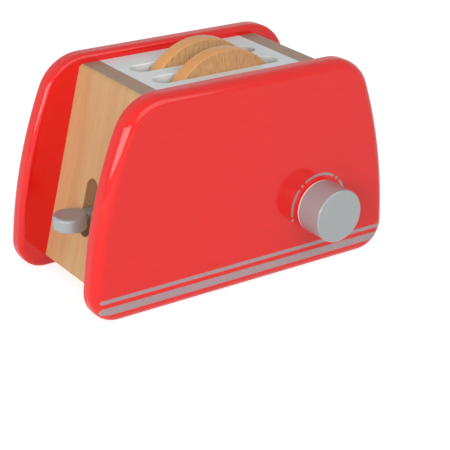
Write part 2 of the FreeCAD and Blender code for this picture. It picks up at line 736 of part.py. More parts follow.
def lever():
    """A round paddle on a neck whose inner end is halved. Its underside lies on the XY plane."""
    body = new_body("lever")
    disc = new_sketch(body, "XY_Plane", "Paddle")
    circle(disc, f"-{PADDLE_X}", "0", "2 * sizes.paddle_radius")
    pad(body, disc, "sizes.lift_thickness", "Paddle")
    neck = new_sketch(body, "XY_Plane", "Neck")
    rectangle(neck, f"-{PADDLE_X}", f"-{LAP_END}", "-sizes.neck_width / 2", "sizes.neck_width / 2")
    pad(body, neck, "sizes.lift_thickness", "Neck")
    outside = -number_of(LIFT_LEVER_END)
    inside_end = -number_of(LAP_END)

    def in_throat(edge):
        middle = edge.CenterOfMass
        on_neck = abs(abs(middle.y) - number_of("sizes.neck_width / 2")) < SAME_PLACE
        return is_upright(edge) and on_neck and middle.x < outside

    dress(body, "Fillet", "sizes.neck_fillet", in_throat, "Throat")
    lap = new_sketch(body, "XY_Plane", "Lap")
    half = "sizes.neck_width"
    rectangle(lap, f"-{LIFT_LEVER_END} - sizes.lap_fit", f"-{LAP_END} + sizes.neck_width",
              f"-{half}", half)
    pocket(body, lap, "sizes.lift_thickness - sizes.lap_depth", "Lap", reverse=True)
    step = number_of(f"-{LIFT_LEVER_END} - sizes.lap_fit")
    upper = flat_at("z", "sizes.lift_thickness")
    lower = flat_at("z", "0")

    def outside_rim(edge):
        middle = edge.CenterOfMass
        if upper(edge):
            return middle.x < inside_end - SAME_PLACE
        return lower(edge) and middle.x < step - SAME_PLACE

    dress(body, "Fillet", "sizes.lever_edge_round", outside_rim, "Edges")
    holes = new_sketch(body, "XY_Plane", "ScrewHoles", height="sizes.lift_thickness")
    for x in lever_screw_places():
        circle(holes, x, "0", LEVER_SCREW_HOLE)
    pocket(body, holes, None, "ScrewHoles")
    sink = "(sizes.lever_screw_head - sizes.lever_screw_diameter) / 2"
    dress(body, "Chamfer", sink, lambda edge: upper(edge) and is_circle(edge), "Countersinks")
    place(body, y=MID_Y, z="sizes.lift_height")


def lever_screw_set():
    body = new_body("lever_screws")
    body.AllowCompound = True
    profile = new_sketch(body, "XZ_Plane", "Profile")
    countersunk_profile(profile, LEVER_SCREW_LENGTH, "sizes.lever_screw_diameter",
                        "sizes.lever_screw_head")
    revolve(body, profile)
    outer, inner = lever_screw_places()
    repeat(body, profile, (("H_Axis", f"{inner} - ({outer})"),))
    place(body, x=inner, y=MID_Y, z=LIFT_TOP_Z, turn=UPSIDE_DOWN)


lever()
lever_screw_set()


# Dial

KNOB_BACK_Y = f"({FRONT_INNER_Y} - sizes.panel_thickness - sizes.knob_gap)"
KNOB_LENGTH = "(sizes.knob_reach - sizes.knob_gap)"
AXLE_END_Y = f"({FRONT_INNER_Y} + sizes.washer_gap)"


def dial_knob():
    """The knob, its back face on the XZ plane."""
    body = new_body("dial_knob")
    face = new_sketch(body, "XZ_Plane", "Face")
    circle(face, "0", "0", "sizes.knob_diameter")
    pad(body, face, KNOB_LENGTH)
    dress(body, "Fillet", "sizes.knob_edge_round", is_circle, "Edges")
    bore = new_sketch(body, "XZ_Plane", "AxleBore")
    circle(bore, "0", "0", "sizes.axle_diameter + 2 * sizes.glue_gap")
    pocket(body, bore, "sizes.axle_in_knob + sizes.glue_gap", "AxleBore", reverse=True)
    place(body, x=DIAL_X, y=KNOB_BACK_Y, z="sizes.dial_height")


def dial_axle():
    """A dowel glued in the knob, its inner end on the XZ plane."""
    body = new_body("dial_axle")
    end = new_sketch(body, "XZ_Plane", "End")
    circle(end, "0", "0", "sizes.axle_diameter")
    length = f"({AXLE_END_Y} - {KNOB_BACK_Y} + sizes.axle_in_knob)"
    pad(body, end, length)
    dress(body, "Chamfer", "sizes.dowel_chamfer", flat_at("y", f"-{length}"), "Lead")
    pilot = new_sketch(body, "XZ_Plane", "PilotHole")
    circle(pilot, "0", "0", "sizes.dial_screw_diameter + 2 * sizes.glue_gap")
    pocket(body, pilot, "sizes.dial_screw_length - sizes.washer_thickness + sizes.glue_gap", "PilotHole",
           reverse=True)
    place(body, x=DIAL_X, y=AXLE_END_Y, z="sizes.dial_height")


def dial_washer():
    """A flat washer on the axle's inner end, wider than the bore."""
    body = new_body("dial_washer")
    ring = new_sketch(body, "XZ_Plane", "Ring")
    circle(ring, "0", "0", "sizes.washer_diameter")
    circle(ring, "0", "0", "sizes.dial_screw_diameter + 2 * sizes.glue_gap")
    pad(body, ring, "sizes.washer_thickness", reverse=True)
    place(body, x=DIAL_X, y=AXLE_END_Y, z="sizes.dial_height")


def dial_screw():
    """A pan-head screw, turned about Y: the head's seat on the XZ plane, the shank towards -Y."""
    body = new_body("dial_screw")
    profile = new_sketch(body, "XY_Plane", "Profile")
    shank = "sizes.dial_screw_diameter / 2"
    polygon(profile, [
        ("0", "-sizes.dial_screw_length"),
        (shank, f"-sizes.dial_screw_length + {shank}"),
        (shank, "0"),
        ("sizes.dial_screw_head / 2", "0"),
        ("sizes.dial_screw_head / 2", "sizes.dial_screw_head_height"),
        ("0", "sizes.dial_screw_head_height"),
    ])
    revolve(body, profile)
    dress(body, "Chamfer", "sizes.dial_screw_head_height / 2",
          flat_at("y", "sizes.dial_screw_head_height"), "Head")
    place(body, x=DIAL_X, y=f"{AXLE_END_Y} + sizes.washer_thickness", z="sizes.dial_height")


dial_knob()
dial_axle()
dial_washer()
dial_screw()


# Toast slices

def toast_outline(sketch):
    """A slice of bread: a wide crown, round shoulders, straight sides and small lower corners."""
    half = number_of(f"{TOAST_WIDTH} / 2")
    height = number_of(TOAST_HEIGHT)
    crown = number_of(TOAST_CROWN_RADIUS)
    shoulder = SIZES["toast_shoulder_radius"]
    corner = SIZES["toast_corner_radius"]
    shoulder_x = half - shoulder
    rise = math.sqrt((crown - shoulder) ** 2 - shoulder_x ** 2)
    shoulder_z = height - crown + rise
    turn = math.degrees(math.atan2(rise, shoulder_x))
    first = smooth_outline(sketch, [
        Part.LineSegment(vector(-half + corner, 0), vector(half - corner, 0)),
        arc(half - corner, corner, corner, -90, 0),
        Part.LineSegment(vector(half, corner), vector(half, shoulder_z)),
        arc(shoulder_x, shoulder_z, shoulder, 0, turn),
        arc(0, height - crown, crown, turn, 180 - turn),
        arc(-shoulder_x, shoulder_z, shoulder, 180 - turn, 180),
        Part.LineSegment(vector(-half, shoulder_z), vector(-half, corner)),
        arc(-half + corner, corner, corner, 180, 270),
    ])
    bottom, right_corner, right_side, right_shoulder = range(first, first + 4)
    top, left_shoulder, left_side, left_corner = range(first + 4, first + 8)
    sketch.addConstraint(Sketcher.Constraint("PointOnObject", bottom, 1, -1))
    sketch.addConstraint(Sketcher.Constraint("Symmetric", bottom, 1, bottom, 2, -2))
    sketch.addConstraint(Sketcher.Constraint("PointOnObject", top, 3, -2))
    sketch.addConstraint(Sketcher.Constraint("Vertical", right_side))
    sketch.addConstraint(Sketcher.Constraint("Equal", left_corner, right_corner))
    sketch.addConstraint(Sketcher.Constraint("Equal", left_shoulder, right_shoulder))
    tie(sketch, "Radius", right_corner, formula="sizes.toast_corner_radius")
    tie(sketch, "Radius", right_shoulder, formula="sizes.toast_shoulder_radius")
    tie(sketch, "Radius", top, formula=TOAST_CROWN_RADIUS)
    tie(sketch, "DistanceX", -1, 1, right_side, 1, formula=f"{TOAST_WIDTH} / 2")
    tie(sketch, "DistanceY", -1, 1, top, 3, formula=f"{TOAST_HEIGHT} - {TOAST_CROWN_RADIUS}")


def toast_slice(label, slot_side, shift):
    """A loose slice that stands in its tray, close to the near wall of its slot."""
    body = new_body(label)
    outline = new_sketch(body, "XZ_Plane", "Outline")
    toast_outline(outline)
    pad(body, outline, TOAST_THICKNESS, midplane=True)
    near = flat_at("y", f"-{TOAST_THICKNESS} / 2")
    far = flat_at("y", f"{TOAST_THICKNESS} / 2")
    dress(body, "Chamfer", "sizes.toast_edge_bevel", lambda edge: near(edge) or far(edge), "Edges")
    nearer = "(sizes.toast_side_play / 2 - sizes.toast_wall_gap)"
    place(body, x=shift, y=f"{MID_Y} {slot_side} {SLOT_Y} - {nearer}", z=TRAY_FLOOR_Z)


toast_slice("front_toast_slice", "-", "sizes.front_toast_shift")
toast_slice("rear_toast_slice", "+", "sizes.rear_toast_shift")


# Checks and files

doc.recompute()
for item in doc.Objects:
    if {"Invalid", "Error"} & set(item.State):
        raise RuntimeError(f"{item.Label} didn't recompute: {item.State}")
for body in subparts:
    if body.Shape.isNull() or not body.Shape.isValid():
        raise RuntimeError(f"{body.Label} has no sound shape")
os.makedirs("parts", exist_ok=True)
for body in subparts:
    body.Shape.exportStep(f"parts/{body.Label}.step")
    box = body.Shape.optimalBoundingBox()
    corners = (box.XMin, box.XMax, box.YMin, box.YMax, box.ZMin, box.ZMax)
    reach = " ".join(f"{corner:.2f}" for corner in corners)
    print(f"{body.Label}: {len(body.Shape.Solids)} solid(s), {body.Shape.Volume:.0f} mm3, box {reach}")
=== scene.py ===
import math

import bmesh
import bpy
from bpy.props import FloatProperty, FloatVectorProperty, IntProperty, PointerProperty
from bpy.types import Operator, Panel, PropertyGroup
from mathutils import Matrix, Vector


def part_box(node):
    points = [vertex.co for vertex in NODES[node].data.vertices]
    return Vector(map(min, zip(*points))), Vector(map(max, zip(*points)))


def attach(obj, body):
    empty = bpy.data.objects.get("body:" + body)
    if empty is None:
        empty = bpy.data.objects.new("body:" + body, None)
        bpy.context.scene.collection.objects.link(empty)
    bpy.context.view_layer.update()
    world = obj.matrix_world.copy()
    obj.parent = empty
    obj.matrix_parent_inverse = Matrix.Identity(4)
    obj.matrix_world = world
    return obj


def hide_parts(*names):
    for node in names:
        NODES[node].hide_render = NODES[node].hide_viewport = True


# The finish of a wooden toy toaster: lacquered side panels with a printed dial scale and stripes,
# beech boards, a white top with two slots, silver painted lever and dial, toast slices and screws.
# X runs along the toaster from the lever's end, Y from the dial to the back, Z up, in metres.

bl_info = {
    "name": "Toy Toaster",
    "version": (1, 0, 0),
    "blender": (4, 5, 0),
    "location": "3D View > Sidebar > Toaster",
    "description": "Paints a wooden toy toaster and adds its prints, slices and screws",
    "category": "Add Mesh",
}

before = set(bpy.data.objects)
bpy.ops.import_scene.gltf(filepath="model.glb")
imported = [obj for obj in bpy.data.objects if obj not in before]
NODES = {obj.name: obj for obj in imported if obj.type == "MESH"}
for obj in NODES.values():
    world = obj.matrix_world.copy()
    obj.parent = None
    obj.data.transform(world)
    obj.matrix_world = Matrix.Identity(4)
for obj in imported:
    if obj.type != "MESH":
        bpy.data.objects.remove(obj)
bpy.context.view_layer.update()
FRONT_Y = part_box("front_side_panel")[0].y
BOARD_TOP_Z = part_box("plain_end_panel")[1].z
KNOB_LOW, KNOB_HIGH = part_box("dial_knob")
DIAL_CENTRE = Vector(((KNOB_LOW.x + KNOB_HIGH.x) / 2, FRONT_Y, (KNOB_LOW.z + KNOB_HIGH.z) / 2))

BOARD_LEAN = math.radians(12.2)
MILLIMETRE = 0.001
MERGE_DISTANCE = 1e-6


# Settings that a user would change

def colour(name, description, default):
    return FloatVectorProperty(name=name, description=description, default=default, size=3,
                               subtype="COLOR", min=0, max=1)


def length(name, description, default):
    return FloatProperty(name=name, description=description, default=default, precision=5,
                         subtype="DISTANCE", unit="LENGTH")


def angle(name, description, degrees):
    return FloatProperty(name=name, description=description, default=math.radians(degrees),
                         subtype="ANGLE", unit="ROTATION")


def point(name, description, default):
    return FloatVectorProperty(name=name, description=description, default=default, size=3,
                               subtype="TRANSLATION", unit="LENGTH")


def amount(name, description, default):
    return FloatProperty(name=name, description=description, default=default)


class ToasterColours(PropertyGroup):
    red: colour("Red", "Lacquer on the side panels", (0.80, 0.011, 0.009))
    beech: colour("Beech", "Light wood of the boards", (0.58, 0.365, 0.17))
    beech_rose: colour("Rosy beech", "Warmer bands in the boards", (0.56, 0.31, 0.14))
    beech_fleck: colour("Beech flecks", "Short dark flecks in the boards", (0.35, 0.18, 0.075))
    end_grain: colour("End grain", "Sawn ends of the boards", (0.34, 0.22, 0.15))
    white: colour("White", "Paint on the top board", (0.785, 0.84, 0.85))
    silver: colour("Silver", "Paint on the lever and the dial", (0.365, 0.405, 0.415))
    print_silver: colour("Printed silver", "Stripes and dial scale", (0.38, 0.29, 0.30))
    toast_face: colour("Toast face", "Cut faces of the slices", (0.65, 0.36, 0.15))
    toast_pore: colour("Toast pores", "Fine dark lines in the slices", (0.24, 0.11, 0.04))
    crust: colour("Crust", "Painted rim of the slices", (0.71, 0.325, 0.10))
    # Painted highlight: a pale colour for the dial's back edge, standing in for light caught by its
    # rounding
    edge_highlight: colour("Edge highlight", "Painted highlight line round the back of the dial", (0.92, 0.85, 0.8))
    steel: colour("Steel", "Screws and washer", (0.60, 0.59, 0.57))


class PrintSizes(PropertyGroup):
    ink: length("Ink", "Thickness of the print", 0.00006)
    scale_radius: length("Scale radius", "Middle of the dial scale's line", 0.019)
    scale_stroke: length("Scale stroke", "Width of the dial scale's line", 0.0015)
    scale_dot: length("Scale dot", "Diameter of the dial scale's dots", 0.0019)
    thin_low: length("Thin stripe's lower edge", "Above the ground", 0.0135)
    thin_high: length("Thin stripe's upper edge", "Above the ground", 0.0158)
    thick_low: length("Thick stripe's lower edge", "Above the ground", 0.0063)
    thick_high: length("Thick stripe's upper edge", "Above the ground", 0.0109)
    stripe_inset: length("Stripe inset", "From the panel's ends to the stripes' ends", 0.004)


class SmallParts(PropertyGroup):
    slice_edge: length("Slice edge", "Softening of the slices' bevelled edges", 0.00018)
    base_head: length("Base screws' heads", "Diameter", 0.007)
    base_shank: length("Base screws' shanks", "Diameter", 0.0035)
    lever_head: length("Lever screws' heads", "Diameter", 0.005)
    lever_shank: length("Lever screws' shanks", "Diameter", 0.0025)
    dial_shank: length("Dial screw's shank", "Diameter", 0.003)
    pan_height: length("Pan height", "Height of the dial screw's domed head", 0.0024)
    recess_share: amount("Recess", "Cross recess, as a share of a screw head's width", 0.58)
    recess_depth: length("Recess depth", "Depth of the cross recess", 0.0009)
    sides: IntProperty(name="Sides", description="Sides of a round screw", default=32, min=16)


class StageSettings(PropertyGroup):
    eye: point("Eye", "Place of the camera", (-0.4438, -0.6151, 0.3653))
    yaw: angle("Yaw", "Turn of the view from +Y towards +X", 36.44)
    pitch: angle("Pitch", "Tilt of the view below level", 24.27)
    roll: angle("Roll", "Turn of the camera about its own axis", 1.98)
    lens: amount("Lens", "Focal length in millimetres", 114.96)
    surround: amount("Surround", "Light of the white surroundings on the object", 0.3)
    key: amount("Key", "Power of the wide lamp in front, in watts", 18.0)
    key_place: point("Key's place", "Middle of the lamp in front", (0.25, -1.75, 1.25))
    side: amount("Side", "Power of the wide lamp on the lever's side, in watts", 24.0)
    side_place: point("Side's place", "Middle of the lamp on the lever's side", (-1.57, -0.7, 0.54))
    lamp_target: point("Target", "Where both lamps point", (0, 0, 0.05))
    floor_glow: amount("Floor glow", "Light added to the floor as the camera sees it", 0.66)


class ToasterSettings(PropertyGroup):
    colours: PointerProperty(type=ToasterColours)
    prints: PointerProperty(type=PrintSizes)
    small: PointerProperty(type=SmallParts)
    stage: PointerProperty(type=StageSettings)


def settings():
    return bpy.context.scene.toy_toaster


# Shader maths

class Wire:
    """A node's output. Its operators add Math nodes."""

    def __init__(self, paint, socket):
        self.paint = paint
        self.socket = socket

    def maths(self, operation, *values, first=None):
        values = ([self] if first is None else [first, self]) + list(values)
        return self.paint.node("Math", {"operation": operation}, dict(enumerate(values)))

    def __add__(self, other):
        return self.maths("ADD", other)

    def __sub__(self, other):
        return self.maths("SUBTRACT", other)

    def __rsub__(self, other):
        return self.maths("SUBTRACT", first=other)

    def __mul__(self, other):
        return self.maths("MULTIPLY", other)

    def __abs__(self):
        return self.maths("ABSOLUTE")

    __radd__ = __add__
    __rmul__ = __mul__

    def between(self, low, high):
        """Rises smoothly from 0 at low to 1 at high."""
        return self.paint.node("MapRange", {"interpolation_type": "SMOOTHSTEP"},
                               {"Value": self, "From Min": low, "From Max": high})


class Arrow(Wire):
    """A vector output. It is stretched by three numbers and taken apart."""

    def stretched(self, x, y, z):
        return self.paint.node("VectorMath", {"operation": "MULTIPLY"}, {0: self, 1: (x, y, z)})

    def turned(self, turn):
        return self.paint.node("Mapping", {"vector_type": "TEXTURE"},
                               {"Vector": self, "Rotation": (0, turn, 0)})

    def part(self, axis):
        return self.paint.node("SeparateXYZ", {}, {0: self}, output="XYZ".index(axis))


class Paint:
    """A material in the making, or another owner of shader nodes, such as the surroundings."""

    def __init__(self, name="", owner=None, shader="Principled BSDF"):
        self.owner = owner or bpy.data.materials.new(name)
        self.owner.use_nodes = True
        self.tree = self.owner.node_tree
        self.shader = self.tree.nodes[shader]

    def node(self, kind, node_settings, sockets, output=0):
        """Adds a node: its settings first, then the values or links of its sockets."""
        node = self.tree.nodes.new(f"ShaderNode{kind}")
        for name, value in node_settings.items():
            setattr(node, name, value)
        self.feed(node, sockets)
        socket = node.outputs[output]
        return Arrow(self, socket) if socket.type == "VECTOR" else Wire(self, socket)

    def feed(self, node, sockets):
        for name, value in sockets.items():
            socket = node.inputs[name]
            if isinstance(value, Wire):
                self.tree.links.new(value.socket, socket)
            elif socket.type == "RGBA":
                socket.default_value = (*value, 1)
            else:
                socket.default_value = value

    def place(self):
        """Where a point lies on the toaster, in metres."""
        return self.node("TexCoord", {}, {}, output="Object")

    def noise(self, vector, detail=2.0, roughness=0.5):
        return self.node("TexNoise", {}, {"Vector": vector, "Scale": 1.0, "Detail": detail,
                                          "Roughness": roughness})

    def blend(self, share, first, second):
        """A colour between two."""
        return self.node("Mix", {"data_type": "RGBA"}, {0: share, 6: first, 7: second}, output=2)

    def bump(self, height, rise):
        """A relief that rises by so many metres where the height is 1."""
        return self.node("Bump", {}, {"Height": height, "Strength": 1.0, "Distance": rise})

    def finish(self, **sockets):
        """Sets the shader's sockets, with their names in small letters, and gives their owner."""
        names = {name.lower().replace(" ", "_"): name for name in self.shader.inputs.keys()}
        self.feed(self.shader, {names[name]: value for name, value in sockets.items()})
        return self.owner


# Finishes

def red_lacquer(colours):
    """Two coats over a close-grained board: the grain shows through as faint ripples along X."""
    paint = Paint("red_lacquer")
    place = paint.place()
    cloud = paint.noise(place.stretched(14, 14, 14))
    ripple = paint.noise(place.stretched(60, 700, 700), detail=3.0)
    orange_peel = paint.noise(place.stretched(1300, 1300, 1300))
    deep = tuple(0.88 * part for part in colours.red)
    base = paint.blend(cloud.between(0.3, 0.7) * 0.3 + ripple.between(0.35, 0.65) * 0.22, colours.red, deep)
    relief = ripple * 0.6 + orange_peel * 0.4
    gloss = 0.68 + ripple.between(0.3, 0.7) * 0.05 + orange_peel.between(0.3, 0.7) * 0.15
    return paint.finish(base_color=base, roughness=0.36 + 0.08 * ripple, specular_ior_level=0.0,
                        normal=paint.bump(relief, 0.000014), coat_roughness=0.1, coat_weight=gloss)


def beech(name, colours, along, lean=0.0, end_height=None):
    """Clear varnished beech. Along names the axis of the grain, lean turns it about Y,
    and above end_height the end grain shows."""
    paint = Paint(name)
    place = paint.place()
    grain = place.turned(lean) if lean else place

    def stretch(across, length_of_grain):
        return grain.stretched(*(length_of_grain if axis == along else across for axis in "XYZ"))

    band = paint.noise(stretch(130, 7), detail=2.0)
    streak = paint.noise(stretch(900, 22), detail=3.0, roughness=0.6)
    fleck = paint.noise(stretch(1800, 240), detail=1.0).between(0.6, 0.72)
    base = paint.blend(band.between(0.35, 0.65), colours.beech, colours.beech_rose)
    base = paint.blend(streak.between(0.4, 0.75) * 0.22, base, colours.beech_fleck)
    base = paint.blend(fleck * 0.2, base, colours.beech_fleck)
    relief = streak * 0.6 - fleck * 0.4
    if end_height is not None:
        end = place.part("Z").between(end_height - 0.1 * MILLIMETRE, end_height - 0.05 * MILLIMETRE)
        ring = paint.noise(place.stretched(900, 60, 900), detail=2.0)
        sawn = paint.blend(ring.between(0.4, 0.7) * 0.35, colours.end_grain, colours.beech_fleck)
        base = paint.blend(end, base, sawn)
    return paint.finish(base_color=base, roughness=0.42 + 0.12 * streak, normal=paint.bump(relief, 0.00003))


def white_paint(colours):
    """Thin paint that leaves the board's grain to be felt along X."""
    paint = Paint("white_paint")
    place = paint.place()
    ripple = paint.noise(place.stretched(40, 500, 500), detail=3.0)
    cloud = paint.noise(place.stretched(30, 30, 30))
    shade = tuple(0.94 * part for part in colours.white)
    base = paint.blend(cloud * 0.6 + ripple * 0.3, colours.white, shade)
    return paint.finish(base_color=base, roughness=0.42 + 0.1 * ripple, normal=paint.bump(ripple, 0.00003))


def silver_paint(name, colours, back=None):
    """Sprayed paint with fine metal flakes. Where back is given, a thin pale line runs in front of that Y:
    a painted highlight, standing in for the light that the rounded back edge catches."""
    paint = Paint(name)
    place = paint.place()
    flake = paint.noise(place.stretched(3200, 3200, 3200), detail=1.0)
    cloud = paint.noise(place.stretched(120, 120, 120))
    dull = tuple(0.72 * part for part in colours.silver)
    base = paint.blend(flake.between(0.35, 0.65) * 0.5 + cloud * 0.2, colours.silver, dull)
    # Painted highlight: the last 1.2 mm of the dial before its back are painted pale, for light caught by
    # the rounded back edge
    if back is not None:
        uneven = place.part("Y") + cloud * 0.4 * MILLIMETRE
        highlight_band = uneven.between(back - 1.5 * MILLIMETRE, back - 1.2 * MILLIMETRE)
        base = paint.blend(highlight_band, base, colours.edge_highlight)
    peel = paint.noise(place.stretched(700, 700, 700))
    return paint.finish(base_color=base, metallic=0.12, roughness=0.36 + 0.1 * cloud,
                        normal=paint.bump(peel + flake * 0.3, 0.00002),
                        coat_weight=0.6, coat_roughness=0.12)


def printed_silver(colours):
    """Screen-printed silver ink, a little uneven."""
    paint = Paint("printed_silver")
    place = paint.place()
    cloud = paint.noise(place.stretched(900, 900, 900), detail=3.0)
    thin = tuple(0.84 * part for part in colours.print_silver)
    base = paint.blend(cloud.between(0.35, 0.7) * 0.6, colours.print_silver, thin)
    return paint.finish(base_color=base, metallic=0.3, roughness=0.38 + 0.1 * cloud,
                        normal=paint.bump(cloud, 0.00001))


def toast_wood(name, colours, low, high):
    """Bare faces with fine upright pores, and a smooth painted rim between them.
    Low and high are the faces along Y."""
    paint = Paint(name)
    place = paint.place()
    depth = place.part("Y")
    middle = (low + high) / 2
    half = (high - low) / 2
    rim = 1 - abs(depth - middle).between(half - 0.12 * MILLIMETRE, half - 0.04 * MILLIMETRE)
    pore = paint.noise(place.stretched(2400, 300, 150), detail=2.0, roughness=0.6)
    shade = paint.noise(place.stretched(90, 90, 20), detail=2.0)
    lines = pore.between(0.42, 0.66)
    face = paint.blend(shade.between(0.3, 0.7) * 0.5, colours.toast_face,
                       tuple(0.85 * part for part in colours.toast_face))
    face = paint.blend(lines * 0.54, face, colours.toast_pore)
    wear = paint.noise(place.stretched(60, 60, 60), detail=3.0)
    crust = paint.blend(wear.between(0.35, 0.7) * 0.4, colours.crust,
                        tuple(0.9 * part for part in colours.crust))
    relief = (1 - rim) * (1 - lines)
    return paint.finish(base_color=paint.blend(rim, face, crust), roughness=0.62 - 0.2 * rim,
                        normal=paint.bump(relief, 0.00006))


def steel(colours):
    """Zinc-plated steel with faint drawing marks round the Y axis."""
    paint = Paint("steel")
    place = paint.place()
    mark = paint.noise(place.stretched(2500, 400, 400), detail=2.0)
    stain = paint.noise(place.stretched(300, 300, 300), detail=3.0)
    dull = tuple(0.75 * part for part in colours.steel)
    base = paint.blend(stain.between(0.35, 0.7) * 0.5, colours.steel, dull)
    return paint.finish(base_color=base, metallic=1.0, roughness=0.28 + 0.15 * stain,
                        normal=paint.bump(mark, 0.00001))


def coat(material, *nodes):
    """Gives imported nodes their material."""
    for name in nodes:
        slots = NODES[name].data.materials
        slots.clear()
        slots.append(material)


# Forms

SHARP_FROM = math.radians(35)
CRISP_FROM = math.radians(30)
FLAT_WITHIN = math.radians(0.1)
ROUND_END_STEPS = 8
ARC_STEPS = 24
ARC_END_STEPS = 10
DOT_STEPS = 20


def new_piece(name, form, material, body):
    """Makes a form an object that rides on a body."""
    bmesh.ops.remove_doubles(form, verts=form.verts, dist=MERGE_DISTANCE)
    bmesh.ops.recalc_face_normals(form, faces=form.faces)
    for face in form.faces:
        face.smooth = True
    mesh = bpy.data.meshes.new(name)
    form.to_mesh(mesh)
    form.free()
    mesh.set_sharp_from_angle(angle=SHARP_FROM)
    mesh.materials.append(material)
    piece = bpy.data.objects.new(name, mesh)
    bpy.context.scene.collection.objects.link(piece)
    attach(piece, body)
    return piece


def node_form(name):
    """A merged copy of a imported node's mesh, its flat faces whole."""
    form = bmesh.new()
    form.from_mesh(NODES[name].data)
    bmesh.ops.remove_doubles(form, verts=form.verts, dist=MERGE_DISTANCE)
    bmesh.ops.dissolve_limit(form, angle_limit=FLAT_WITHIN, verts=form.verts, edges=form.edges)
    return form


def spun(form, geometry, centre, axis, turn, steps):
    """Spins loose edges or vertices and gives what the last step made."""
    made = bmesh.ops.spin(form, geom=geometry, cent=centre, axis=axis, angle=turn, steps=steps,
                          use_merge=False, use_duplicate=False)
    return made["geom_last"]


def stripe_form(low, high, end_x, ink):
    """A band of the front panel's outer surface with half-round ends, lifted by the ink's thickness."""
    form = node_form("front_side_panel")
    inward = [face for face in form.faces if face.normal.y > -0.5]
    bmesh.ops.delete(form, geom=inward, context="FACES")
    radius = (high - low) / 2
    middle = (low + high) / 2
    for side in (-1, 1):
        centre = Vector((side * (end_x - radius), 0, middle))
        for step in range(-ROUND_END_STEPS, ROUND_END_STEPS + 1):
            turn = math.radians(90 * step / ROUND_END_STEPS)
            outward = Vector((side * math.cos(turn), 0, math.sin(turn)))
            geometry = form.verts[:] + form.edges[:] + form.faces[:]
            bmesh.ops.bisect_plane(form, geom=geometry, plane_co=centre + outward * radius,
                                   plane_no=outward, clear_outer=True)
    bmesh.ops.solidify(form, geom=form.faces[:], thickness=-ink)
    return form


def merged(forms):
    """One form that holds several."""
    whole = bmesh.new()
    for form in forms:
        mesh = bpy.data.meshes.new("part")
        form.to_mesh(mesh)
        form.free()
        whole.from_mesh(mesh)
        bpy.data.meshes.remove(mesh)
    return whole


def make_stripes():
    sizes = settings().prints
    end_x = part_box("front_side_panel")[1].x - sizes.stripe_inset
    bands = [stripe_form(low, high, end_x, sizes.ink)
             for low, high in ((sizes.thin_low, sizes.thin_high), (sizes.thick_low, sizes.thick_high))]
    new_piece("panel_stripes", merged(bands), print_material(), "body")


# The dial scale's arcs and dots, in degrees as on_scale counts them

SCALE_ARCS = ((188, 141), (121, 60), (39, -12))
SCALE_DOTS = (197, 131, 50, -17)
FRONTWARDS = Vector((0, -1, 0))


def on_scale(degrees, radius):
    """A point on a circle about the dial's axis, seen from the front, anticlockwise from +X."""
    turn = math.radians(degrees)
    return DIAL_CENTRE + Vector((radius * math.cos(turn), 0, radius * math.sin(turn)))


def make_dial_scale():
    """Three printed arcs and four dots round the dial."""
    sizes = settings().prints
    form = bmesh.new()
    half = sizes.scale_stroke / 2
    for start, end in SCALE_ARCS:
        row = [form.verts.new(on_scale(start, sizes.scale_radius + offset)) for offset in (-half, 0, half)]
        line = [form.edges.new(row[:2]), form.edges.new(row[1:])]
        sweep = math.radians(start - end)
        spun(form, row + line, DIAL_CENTRE, -FRONTWARDS, sweep, ARC_STEPS)
        for degrees, turn in ((start, -math.pi), (end, math.pi)):
            centre = on_scale(degrees, sizes.scale_radius)
            rim = on_scale(degrees, sizes.scale_radius + half)
            ends = [form.verts.new(centre), form.verts.new(rim)]
            spun(form, ends + [form.edges.new(ends)], centre, -FRONTWARDS, turn, ARC_END_STEPS)
    for degrees in SCALE_DOTS:
        centre = on_scale(degrees, sizes.scale_radius)
        rim = centre + Vector((sizes.scale_dot / 2, 0, 0))
        ends = [form.verts.new(centre), form.verts.new(rim)]
        spun(form, ends + [form.edges.new(ends)], centre, -FRONTWARDS, 2 * math.pi, DOT_STEPS)
    bmesh.ops.remove_doubles(form, verts=form.verts, dist=MERGE_DISTANCE)
    lifted = bmesh.ops.extrude_face_region(form, geom=form.faces[:])["geom"]
    points = [item for item in lifted if isinstance(item, bmesh.types.BMVert)]
    bmesh.ops.translate(form, verts=points, vec=FRONTWARDS * sizes.ink)
    new_piece("dial_scale", form, print_material(), "body")


def print_material():
    return bpy.data.materials.get("printed_silver") or printed_silver(settings().colours)


def make_slices():
    """The toast slices, with their bevels softened."""
    edge = settings().small.slice_edge
    for name, body in (("front_toast_slice", "front_toast"), ("rear_toast_slice", "rear_toast")):
        low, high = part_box(name)
        form = node_form(name)
        crisp = [side for side in form.edges
                 if len(side.link_faces) == 2 and side.calc_face_angle() > CRISP_FROM]
        bmesh.ops.bevel(form, geom=crisp, offset=edge, offset_type="OFFSET", affect="EDGES", segments=2,
                        profile=0.5, material=-1)
        material = toast_wood(f"{body}_wood", settings().colours, low.y, high.y)
        piece = new_piece(f"{body}_soft", form, material, body)
        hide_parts(name)


ARM_SHARE = 0.5         # width of the cross's arms, of its reach
FLOOR_SHARE = 0.7       # size of the recess's floor, of its mouth
CHAMFER_SHARE = 0.03    # fine edge of a countersunk head, of its radius
PAN_TOP_SHARE = 0.36    # flat top of the pan head, of its diameter
PAN_RECESS = 1.25       # the pan head's recess, against the others'
PAN_STEPS = ((0.43, 0.12), (0.48, 0.25), (0.5, 0.3), (0.5, 0.33))    # radius and drop, as shares
FIRST_TWIST = 25        # how far a screw's cross is turned, in degrees
NEXT_TWIST = 67
DIAL_TWIST = 20


